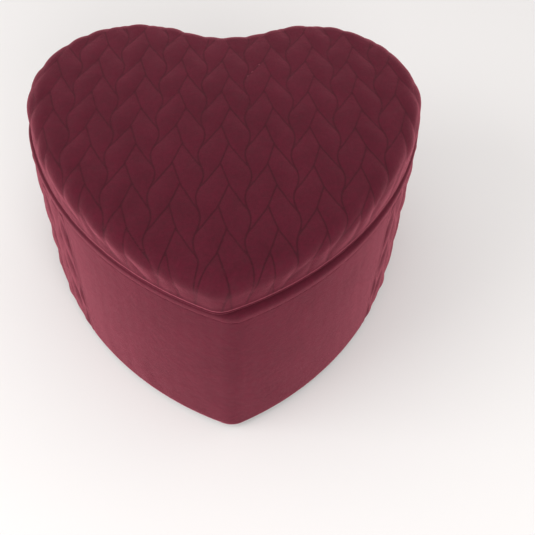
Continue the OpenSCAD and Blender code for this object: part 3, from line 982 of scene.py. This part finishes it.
WELT_IN, WELT_Z, WELT_W, WELT_H = 1.25 * MM, LID_Z + 1.3 * MM, 1.2 * MM, 1.25 * MM  # centre, and half sizes
WELT_WAVE = 0.12 * MM


def lid_welt():
    """The thin folded edge at the foot of the cover."""
    step = 2.0 * MM
    _, nrm, s = LID.ring(0.0, step)
    turns = np.linspace(0, 2 * math.pi, 12, endpoint=False)
    grid = ring_loops(LID, [(WELT_IN - WELT_W * math.cos(a), WELT_Z + WELT_H * math.sin(a)) for a in turns], step)
    grid[..., :2] += nrm[:, None, :] * (WELT_WAVE * wobble(s, (5 * MM, 9 * MM), 41))[:, None, None]
    obj = sweep("lid_welt_roll", lid_place(grid), True, {"stitch": np.full(grid.shape[:2], FAR)})
    finish(obj, "lid", M_PLAIN, "lid_welt")


# ---------------------------------------------------------------- build everything

quilted_panel(1)
quilted_panel(-1)
front_velvet()
rim_pieces()
foam_wall("left_foam_sheet", False, QUILTED_T, "left_foam")
foam_wall("right_foam_sheet", False, QUILTED_T, "right_foam")
foam_wall("front_foam_sheet", True, PLAIN_T, "front_foam")
lid_cover()
lid_welt()

wall_lining()

FLOOR_PAD = plate("floor_pad_cloth", RIM, box_place, in_mm(
    (45, 9.1, 0.6), (43, 9.1, 0), (42, 9.4, 0), (41.7, 10.5, 0),
    (42.2, 11.6, 0), (44, 12, 0), (44, 12.1, 0.3), (44, 12.2, 0.6),
))
finish(FLOOR_PAD, "box", M_LINING, "floor_pad")

DUST = plate("dust_cover_cloth", FOOT, box_place, in_mm(
    (6, 3.4, 0.5), (5.2, 3.4, 0), (5.0, 4.0, 0), (4.9, 8.8, 0), (4.2, 8.8, 0),
    (4.2, 3.4, 0), (4.6, 2.8, 0), (5.6, 2.5, 0), (6, 2.5, 0.5),
))
DUST_AREA = heart_area(FOOT, -2.2 * MM)  # the base outline and a turn-up of about 6 mm
finish(DUST, "box", M_BLACK, "dust_cover")

LID_LINING = plate("lid_lining_cloth", LID, lid_place, in_mm(
    (26.5, 231.9, 0.5), (26.5, 231.9, 0), (26.2, 231.5, 0), (26.5, 231.2, 0), (26.5, 231.2, 0.5),
))
finish(LID_LINING, "lid", M_BLACK, "lid_lining")
heart_area(LID, 25.9 * MM)

FOAM_UNDER, WAD_UNDER, WAD_OVER = 7.3 * MM, 6.9 * MM, 4.6 * MM  # depths under the cover's outer face
SHARES = (0.25, 0.5, 0.75)
slab_foot = in_mm((9, 244.2, 0.5), (8.6, 244.2, 0))
slab = slab_foot + under_edge(FOAM_UNDER, 7) + under_crown(FOAM_UNDER, SHARES)
FOAM = plate("lid_foam_slab", LID, lid_place, slab)
finish(FOAM, "lid", M_FOAM, "lid_foam")

wad_inside = under_crown(WAD_UNDER, SHARES[::-1]) + under_edge(WAD_UNDER, 7)[::-1]
wad_outside = under_edge(WAD_OVER, 7) + under_crown(WAD_OVER, SHARES)
wad_foot = in_mm((8.1, 232.4, 0), (5.4, 232.4, 0))
WAD = plate("lid_wadding_layer", LID, lid_place, wad_inside + wad_foot + wad_outside)
finish(WAD, "lid", M_WADDING, "lid_wadding")

KEPT = {
    M_PLY: ("bottom_ring", "top_ring", "wall_posts", "tip_post", "lid_board"),
    M_HARD: ("left_outer_shell", "right_outer_shell", "left_inner_shell", "right_inner_shell"),
    M_BLACK: ("base_panel", "locator_panel"),
    M_PLASTIC: ("glides",),
    M_STEEL: ("base_screws", "top_ring_screws", "base_staples", "locator_screws", "lid_staples"),
}
for mat, names in KEPT.items():
    for name in names:
        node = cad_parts[name]
        node.data.materials.clear()
        node.data.materials.append(mat)


# ---------------------------------------------------------------- floor, light and camera

FLOOR_GAP, WORLD_STRENGTH = 0.2 * MM, 0.78

bpy.ops.mesh.primitive_plane_add(size=12)
FLOOR = bpy.context.object
FLOOR.name = "floor"
FLOOR.location.z = -FLOOR_GAP
M_FLOOR, _, _, floor_shader = shader("pale floor")
floor_shader.inputs["Base Color"].default_value = (0.860, 0.842, 0.832, 1)
floor_shader.inputs["Roughness"].default_value = 0.9
FLOOR.data.materials.append(M_FLOOR)

world = bpy.data.worlds.new("studio")
bpy.context.scene.world = world
world.use_nodes = True
sky = world.node_tree.nodes["Background"]
sky.inputs["Color"].default_value = (1, 0.985, 0.98, 1)
sky.inputs["Strength"].default_value = WORLD_STRENGTH
bpy.context.scene.view_settings.view_transform = "Standard"


LIGHT_AIM = Vector((0, 0, 0.12))


def area_light(name, place, size, power):
    data = bpy.data.lights.new(name, "AREA")
    data.size, data.energy = size, power
    obj = bpy.data.objects.new(name, data)
    obj.location = place
    obj.rotation_euler = (LIGHT_AIM - Vector(place)).to_track_quat("-Z", "Y").to_euler()
    bpy.context.scene.collection.objects.link(obj)


area_light("key", (-1.9, -0.5, 1.6), 1.4, 20)
area_light("front", (0.60, -2.5, 1.3), 2.0, 43)

DISTANCE, ELEVATION, AZIMUTH, ROLL = 0.9965, math.radians(48.61), math.radians(-1.42), math.radians(-0.38)
TARGET = np.array([-0.0023, 0.0406, 0.175])
SENSOR, LENS, SHIFT = 36, 51.7593, (0.082243, -0.181495)  # mm, mm, and shares of the picture's width
level = math.cos(ELEVATION)
back = np.array([math.sin(AZIMUTH) * level, -math.cos(AZIMUTH) * level, math.sin(ELEVATION)])
right = np.array([math.cos(AZIMUTH), math.sin(AZIMUTH), 0])
up = np.cross(back, right)
right, up = math.cos(ROLL) * right + math.sin(ROLL) * up, -math.sin(ROLL) * right + math.cos(ROLL) * up
eye = TARGET + DISTANCE * back
cam = bpy.data.cameras.new("camera")
cam.sensor_width, cam.lens = SENSOR, LENS
cam.shift_x, cam.shift_y = SHIFT
camera = bpy.data.objects.new("camera", cam)
camera.matrix_world = Matrix([*np.stack([right, up, back, eye], 1).tolist(), [0, 0, 0, 1]])
bpy.context.scene.collection.objects.link(camera)
bpy.context.scene.camera = camera
